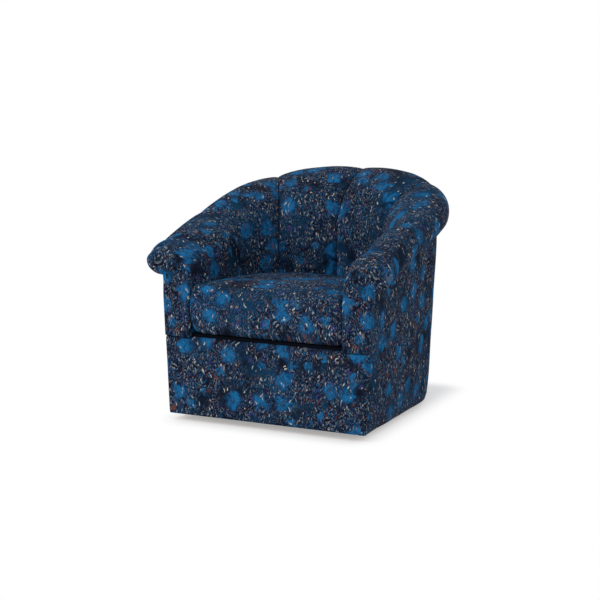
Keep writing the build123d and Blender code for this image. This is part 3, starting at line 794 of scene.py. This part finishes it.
@dataclass
class ArmFront:
    """The front of one arm: the first channel's cloth runs over its edge and is gathered to the scroll's middle."""

    tub: Tub
    cloth: Material
    side: Side
    scroll: Point = (0.374, 0.540)
    edge_radius: float = 0.009
    roll_edge_radius: float = 0.020
    roll_foot: float = 0.075
    roll_blend: float = 0.014
    pleats: int = 15
    pleat_depth: float = 0.0036
    pleat_reach: float = 0.036
    pleat_spread: float = 0.028
    dimple: float = 0.010
    dimple_radius: float = 0.014
    swell: float = 0.0015
    unevenness: float = 0.0018
    foot_gap: float = 0.0004
    foot_band: float = 0.004
    cloth_shift: float = 0.4
    insets: tuple[float, ...] = (0.0, 0.04, 0.14, 0.29, 0.48, 0.72, 1.0)
    rings: tuple[float, ...] = (0.9, 0.78, 0.66, 0.54, 0.43, 0.33, 0.24, 0.16, 0.09)

    def outline(self) -> list[Point]:
        """The front's outline, clockwise from its inner foot: up the inside, over the roll, down the outside."""
        tub = self.tub
        channel = Channel(tub, self.cloth, 1, self.side)
        foot_at, _, points = channel.outline(0.0)
        foot = tub.border_z + self.foot_gap
        line = [(foot_at.x + points[0][0], z) for z in (foot, (foot + tub.foot_z) / 2)]
        line += [(foot_at.x + u, z) for u, z in points[:channel.shown]]
        under_z = line[-1][1]
        heights = [under_z + (foot - under_z) * i / 12 for i in range(1, 13)]
        line += [(tub.half_width(z), z) for z in heights]
        inner, outer = line[0][0], line[-1][0]
        return line + [(outer + (inner - outer) * i / 8, foot) for i in range(1, 8)]

    def inward(self, line: list[Point]) -> list[Vector]:
        """Find which way leads inwards from an outline.

        Args:
            line: The outline.

        Returns:
            Unit vectors, one per point.
        """
        found = []
        for i in range(len(line)):
            before, after = line[i - 1], line[(i + 1) % len(line)]
            along = Vector((after[0] - before[0], 0, after[1] - before[1])).normalized()
            found.append(Vector((along.z, 0, -along.x)))
        return found

    def depth(self, place: Vector, inset: float) -> float:
        """How far behind the front plane the cloth lies.

        Args:
            place: The point, in the plane of the front.
            inset: Its distance from the outline.

        Returns:
            The distance in metres.
        """
        tub = self.tub
        on_roll = 1 / (1 + math.exp(-(place.z - self.scroll[1] + self.roll_foot) / self.roll_blend))
        radius = between(self.edge_radius, self.roll_edge_radius, on_roll)
        drop = rounded(radius, inset)
        if place.z < tub.border_z + self.foot_band and abs(place.x) < tub.half_width(tub.foot_z) - radius:
            drop = 0.0
        spoke = place - Vector((self.scroll[0], 0, self.scroll[1]))
        angle, reach = math.atan2(spoke.z, spoke.x), spoke.length
        fold = math.sin(angle * self.pleats + 1.8 * math.sin(angle * 3) + 0.8 * math.sin(angle * 5))
        fold = math.copysign(abs(fold) ** 0.7, fold)
        gathered = on_roll * math.exp(-((reach - self.pleat_reach) / self.pleat_spread) ** 2) * min(inset / 0.012, 1)
        dimple = self.dimple * math.exp(-(reach / self.dimple_radius) ** 2)
        slow = noise.noise(Vector((place.x * 12, self.side.value * 3, place.z * 12))) * self.unevenness
        return drop + self.pleat_depth * fold * gathered + dimple + (slow + self.swell) * min(inset / 0.02, 1)

    def build(self) -> None:
        """Make the closed mesh: a rounded rim, then a fan to the scroll's middle."""
        front_y, back_y = self.tub.front_y, self.tub.inner_front_y
        line = self.outline()
        inward = self.inward(line)
        centre = Vector((self.scroll[0], 0, self.scroll[1]))
        spots: list[tuple[Vector, float]] = []
        for share in self.insets:
            inset = self.roll_edge_radius * share
            rim = [Vector((x, 0, z)) + n * inset for (x, z), n in zip(line, inward)]
            spots += [(place, inset) for place in rim]
        for ring in self.rings:
            spots += [(centre.lerp(place, ring), self.roll_edge_radius + 0.001) for place in rim]
        spots.append((centre, 0.03))
        vertices = [Vector((x, back_y + 0.0002, z)) for x, z in line]
        uvs = [(x + self.cloth_shift - n.x * self.tub.facing, z - n.z * self.tub.facing)
               for (x, z), n in zip(line, inward)]
        for place, inset in spots:
            vertices.append(Vector((place.x, front_y + self.depth(place, inset), place.z)))
            uvs.append((place.x + self.cloth_shift, place.z))
        for vertex in vertices:
            vertex.x *= self.side.value
        faces = ring_faces(1 + len(self.insets) + len(self.rings), len(line), True, self.side is Side.RIGHT)
        piece = make_piece(f"arm_front_{self.side.name.lower()}_cover", vertices, faces, uvs, self.cloth)
        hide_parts(f"arm_front_{self.side.name.lower()}")
        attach(piece, "chair")


@dataclass
class Shell:
    """The flat and curved padded panels round the outside, and the front border."""

    tub: Tub
    cloth: Material
    thickness: float = 0.008
    puff: float = 0.004
    unevenness: float = 0.0022
    clear: float = 0.0002
    top_gap: float = 0.001
    hem: float = 0.003
    rows: int = 34
    border_columns: int = 130
    border_rows: int = 40
    border_corner: float = 0.009
    border_lip: float = 0.021
    lip_under_arms: float = 0.35
    border_hem: float = 0.002
    border_puff: float = 0.003
    border_unevenness: float = 0.002
    border_set_back: float = 0.003
    border_shift: Point = (0.9, 0.15)

    def wall(self, node: str, path: Callable[[float, float], Vector], columns: int, seed: float) -> None:
        """Make one upright panel of even thickness, from the hem to the underside of the roll.

        Args:
            node: The solid that it stands for.
            path: Place on the outside, from a share along the panel and a height.
            columns: Steps along it.
            seed: Shifts the unevenness and the cloth.
        """
        tub = self.tub
        vertices: list[Vector] = []
        uvs: list[Point] = []
        length = 0.0
        before = path(0, tub.skirt_z)
        for column in range(columns + 1):
            s = column / columns
            base = path(s, tub.skirt_z)
            length += (base - before).length
            before = base
            ahead = path(min(s + 0.01, 1), 0.2) - path(max(s - 0.01, 0), 0.2)
            outward = Vector((ahead.y, -ahead.x, 0)).normalized()
            high = 0.5
            for _ in range(4):
                high = tub.roll_under(path(s, high).y)
            ends = math.sin(math.pi * min(s * columns / 6, (1 - s) * columns / 6, 1) / 2)
            ring = []
            for row in range(self.rows + 1):
                share = row / self.rows
                z = between(tub.skirt_z, high - self.top_gap, share)
                puff = math.sin(math.pi * min(share * 6, 1) / 2) * math.sin(math.pi * min((1 - share) * 8, 1) / 2)
                slow = noise.noise(Vector((s * 5 + seed, z * 7, seed))) * self.unevenness
                ring.append(path(s, z) + outward * ((self.puff * puff + slow) * ends + self.clear))
            uvs += [(length + seed, place.z) for place in ring + [ring[-1], ring[0]]]
            ring[0] += Vector((0, 0, 0.0005)) - outward * self.hem
            vertices += ring + [place - outward * self.thickness for place in (ring[-1], ring[0])]
        piece = make_piece(f"{node}_cover", vertices, ring_faces(columns + 1, self.rows + 3), uvs, self.cloth)
        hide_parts(node)
        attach(piece, "chair")

    def build(self) -> None:
        """Make the outside arms, the outside back and the front border."""
        self.wall("outside_arm_right", self.tub.right_arm_place, 44, 0.35)
        self.wall("outside_arm_left", self.tub.left_arm_place, 44, 1.35)
        self.wall("outside_back", self.tub.back_place, 120, 2.2)
        self.border()

    def border(self) -> None:
        """Make the padded front border, rounded at its ends and over its top edge."""
        tub = self.tub
        columns, rows = self.border_columns, self.border_rows
        right, up = self.border_shift
        vertices: list[Vector] = []
        uvs: list[Point] = []
        for column in range(columns + 1):
            s = 0.5 - 0.5 * math.cos(math.pi * column / columns)
            ring = []
            for row in range(rows + 1):
                z = tub.skirt_z + (tub.border_z - tub.skirt_z) * row / rows
                half = tub.half_width(z) - 0.0005
                x = -half + 2 * half * s
                inside = half - abs(x)
                under_arm = 1 / (1 + math.exp((tub.seat_half_width - 0.004 - abs(x)) / 0.003))
                lip = rounded(self.border_lip, tub.border_z - z) * between(1, self.lip_under_arms, under_arm)
                hem = self.border_hem * math.exp(-((z - tub.skirt_z) / 0.006) ** 2)
                puff = self.border_puff * math.sin(math.pi * (row / rows)) * min(inside / 0.05, 1)
                slow = noise.noise(Vector((x * 5, 7.7, z * 8))) * self.border_unevenness
                y = tub.front_y + rounded(self.border_corner, inside) + lip + hem - puff + slow + self.border_set_back
                ring.append(Vector((x, min(y, tub.inner_front_y - 0.001), z)))
            vertices += ring
            uvs += [(place.x + right, place.z + up) for place in ring]
            end = {0: -1, columns: 1}.get(column, 0)
            for place, way in ((ring[-1], 1), (ring[0], -1)):
                vertices.append(Vector((place.x, tub.inner_front_y - 0.0005, place.z)))
                deep = vertices[-1].y - place.y
                uvs.append((place.x + right + end * deep, place.z + up + way * deep))
        piece = make_piece("front_border_cover", vertices, ring_faces(columns + 1, rows + 3), uvs, self.cloth)
        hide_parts("front_border")
        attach(piece, "chair")


@dataclass
class SeatCushion:
    """The loose cushion: a crowned foam pad in a cover that wraps over its front."""

    tub: Tub
    cloth: Material
    side_room: float = 0.009
    back_room: float = 0.014
    foot_z: float = 0.3005
    rise: float = 0.166
    crown: float = 0.014
    crown_reach: float = 0.183
    under_tuck: float = 0.046
    top_tuck: float = 0.026
    rake: float = 0.024
    rake_start: float = 0.12
    rake_length: float = 0.4
    unevenness: float = 0.003
    front_fullness: float = 0.009
    front_inset: float = 0.001
    corner: float = 0.014
    middle_y: float = -0.13
    cloth_shift: Point = (1.7, 1.06)
    around: int = 132
    side_steps: int = 18
    top_steps: int = 14

    def outline(self, inset: float) -> list[Vector]:
        """Plan of the cushion, drawn in by inset.

        Args:
            inset: How far inside the widest outline.

        Returns:
            Points from the front's middle, anticlockwise seen from above.
        """
        tub = self.tub
        wide = tub.seat_half_width - self.side_room - inset
        deep = tub.seat_back_reach - self.back_room - inset
        front = tub.front_y + self.front_inset + inset
        corner = max(self.corner - inset * 0.3, 0.02)
        half = [Vector((0, front, 0))]
        half += [Vector((wide - corner + corner * sin, front + corner - corner * cos, 0))
                 for cos, sin in quarter_turn(8)]
        half += [Vector((wide * cos, tub.seat_curve_y + deep * sin, 0)) for cos, sin in quarter_turn(24)]
        loop = half + [Vector((-v.x, v.y, 0)) for v in reversed(half[1:-1])]
        for place in loop:
            place.x *= 1 + self.front_fullness / wide * math.exp(-((place.y - front) / 0.09) ** 2)
        return spaced([*loop, loop[0]], self.around)[:-1]

    def fall(self, y: float, height: float) -> float:
        """How far the top has sunk towards the rear, less for what lies lower in the cushion."""
        share = max(y - self.tub.front_y - self.rake_start, 0) / self.rake_length
        return self.rake * min(share, 1.2) * height / self.rise

    def levels(self) -> list[Point]:
        """Inset and height of each ring: up the rounded side, then in over the crown."""
        found = []
        for i in range(self.side_steps + 1):
            turn = math.pi * i / self.side_steps
            height = self.rise * (0.5 - 0.5 * math.cos(turn))
            tuck = self.under_tuck if height < self.rise / 2 else self.top_tuck
            found.append((tuck * (1 - math.sin(turn) ** 0.5), height))
        for i in range(1, self.top_steps + 1):
            share = i / self.top_steps
            found.append((self.top_tuck + self.crown_reach * share, self.rise + self.crown * (1 - (1 - share) ** 3)))
        return found

    def cloth_place(self, place: Vector, height: float) -> Point:
        """Cloth coordinates: the top's cloth hangs on down the front and back, and outwards down the sides.

        Args:
            place: The point.
            height: Its height in the unsunk cushion.

        Returns:
            Cloth coordinates in metres.
        """
        from_front = place.y - self.tub.front_y - self.front_inset
        beside = min(max((abs(place.x) - 0.2) / 0.05, 0), 1) * min(max((from_front - 0.02) / 0.04, 0), 1)
        down = max(self.rise - height, 0)
        return (place.x + self.cloth_shift[0] + math.copysign(down * beside, place.x),
                place.y + self.cloth_shift[1] - down * (1 - beside))

    def build(self) -> None:
        """Make the cushion's cover as stacked rings, closed above and below."""
        levels = self.levels()
        vertices, uvs = [], []
        for inset, height in levels:
            for place in self.outline(inset):
                z = self.foot_z + height - self.fall(place.y, height)
                slow = noise.noise(Vector((place.x * 9, place.y * 9, z * 9 + 4))) * self.unevenness
                vertices.append(Vector((place.x, place.y, z + (slow if height > 0.02 else 0))))
                uvs.append(self.cloth_place(place, height))
        top = self.rise + self.crown
        vertices.append(Vector((0, self.middle_y, self.foot_z + top - self.fall(self.middle_y, top))))
        uvs.append(self.cloth_place(vertices[-1], top))
        faces = ring_faces(len(levels), self.around, tipped=True)
        piece = make_piece("seat_cushion_cloth", vertices, faces, uvs, self.cloth)
        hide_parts("seat_cushion_cover", "seat_cushion_core")
        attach(piece, "seat_cushion")


@dataclass(frozen=True)
class Studio:
    """White floor, soft light and the camera at the photograph's angle."""

    azimuth: float = 25.70
    elevation: float = 9.87
    place: Place = (2.183, -4.687, 1.270)
    lens: float = 90.0
    floor_size: float = 30.0
    soft_light: float = 0.47
    floor_lift: float = 0.35
    shadow_box: Place = (0.29, 0.38, 0)
    shadow_fade: float = 0.15
    aim: Place = (0, 0, 0.4)

    def build(self) -> None:
        """Make the floor, world, lamps and camera."""
        bpy.context.scene.view_settings.view_transform = "Standard"
        self.camera()
        self.world()
        self.floor()
        self.lamp("key_light", (-2.4, -3.2, 2.8), 2.6, 58)
        self.lamp("fill_light", (3.6, -2.4, 2.2), 3.0, 12)
        self.lamp("top_light", (0.2, 0.6, 4.2), 3.2, 5)

    def camera(self) -> None:
        """Stand the camera where the photograph's was."""
        turn, tip = math.radians(self.azimuth), math.radians(self.elevation)
        back = Vector((math.sin(turn) * math.cos(tip), -math.cos(turn) * math.cos(tip), math.sin(tip)))
        data = bpy.data.cameras.new("camera")
        data.lens = self.lens
        data.sensor_width = 36
        camera = bpy.data.objects.new("camera", data)
        camera.location = self.place
        camera.rotation_euler = (-back).to_track_quat("-Z", "Y").to_euler()
        bpy.context.scene.collection.objects.link(camera)
        bpy.context.scene.camera = camera

    def seen(self, graph: Graph) -> Socket:
        """1 for the rays that carry a view of the studio: direct, mirrored or through glass."""
        path = graph.add("ShaderNodeLightPath").outputs
        mirrored = graph.math("MAXIMUM", path["Is Camera Ray"], path["Is Glossy Ray"])
        return graph.math("MAXIMUM", mirrored, path["Is Transmission Ray"])

    def world(self) -> None:
        """White to the camera and to gloss, soft and weaker as a light."""
        world = bpy.data.worlds.new("studio")
        world.use_nodes = True
        world.node_tree.nodes.clear()
        graph = Graph(world.node_tree)
        soft, white = (graph.add("ShaderNodeBackground", {"Color": (1, 1, 1, 1), "Strength": strength}).outputs[0]
                       for strength in (self.soft_light, 1.0))
        mix = graph.add("ShaderNodeMixShader", {0: self.seen(graph), 1: soft, 2: white})
        graph.add("ShaderNodeOutputWorld", {"Surface": mix.outputs[0]})
        bpy.context.scene.world = world

    def floor(self) -> None:
        """Lay a white floor that keeps the chair's shadow."""
        half = self.floor_size / 2
        corners = [Vector((x, y, 0)) for x, y in ((-half, -half), (half, -half), (half, half), (-half, half))]
        floor = make_piece("studio_floor", corners, [(0, 1, 2, 3)], [(v.x, v.y) for v in corners], self.paper())

    def paper(self) -> Material:
        """White studio paper: matt, it keeps the chair's shadow and is plain white further out."""
        material, graph, shader = start_material("white_studio_paper")
        graph.put(shader, {"Base Color": linear("F4F4F4"), "Roughness": 0.95, "Specular IOR Level": 0.05})
        seen = self.seen(graph)
        folded = graph.vector("ABSOLUTE", graph.add("ShaderNodeTexCoord").outputs["Object"])
        outside = graph.vector("MAXIMUM", graph.vector("SUBTRACT", folded, self.shadow_box), (0, 0, 0))
        far = graph.add("ShaderNodeVectorMath", {0: outside}, operation="LENGTH").outputs["Value"]
        white_share = graph.remap(far, 0.0, self.shadow_fade, interpolation_type="SMOOTHERSTEP")
        lift = graph.math("MULTIPLY", seen, self.floor_lift)
        glow, white = (graph.add("ShaderNodeEmission", {"Color": (1, 1, 1, 1), "Strength": strength}).outputs[0]
                       for strength in (lift, 1.0))
        lit = graph.add("ShaderNodeAddShader", {0: shader.outputs[0], 1: glow})
        share = graph.math("MULTIPLY", white_share, seen)
        mix = graph.add("ShaderNodeMixShader", {0: share, 1: lit.outputs[0], 2: white})
        output = next(node for node in graph.tree.nodes if node.bl_idname == "ShaderNodeOutputMaterial")
        graph.put(output, {"Surface": mix.outputs[0]})
        return material

    def lamp(self, name: str, place: Place, size: float, power: float) -> None:
        """Add a soft square lamp that points at the chair.

        Args:
            name: The lamp's name.
            place: Where it stands.
            size: Its side.
            power: Its power in watts.
        """
        data = bpy.data.lights.new(name, "AREA")
        data.size = size
        data.energy = power
        lamp = bpy.data.objects.new(name, data)
        lamp.location = place
        lamp.rotation_euler = (Vector(self.aim) - Vector(place)).to_track_quat("-Z", "Y").to_euler()
        bpy.context.scene.collection.objects.link(lamp)


def dress_solids() -> None:
    """Give every carried-over solid the finish of its slot."""
    made = {slot: finish.build() for slot, finish in FINISHES.items()}
    slots = {entry["node"]: entry["material_slot"] for entry in frame["record"]["subparts"]}
    for node, slot in slots.items():
        if slot in made:
            for holder in frame["nodes"][node].material_slots:
                holder.material = made[slot]
            log.info("%s: %s", node, slot)


def main() -> None:
    """Build the chair's covers, its finishes and the studio."""
    logging.basicConfig(level=logging.INFO, format="%(name)s: %(message)s")
    Studio().build()
    dress_solids()
    cloth = PrintedCotton().material
    tub = Tub()
    for side in Side:
        for number in (1, 2, 3, 4):
            Channel(tub, cloth, number, side).build()
        ArmFront(tub, cloth, side).build()
    Shell(tub, cloth).build()
    SeatCushion(tub, cloth).build()


if __name__ == "__main__":
    main()
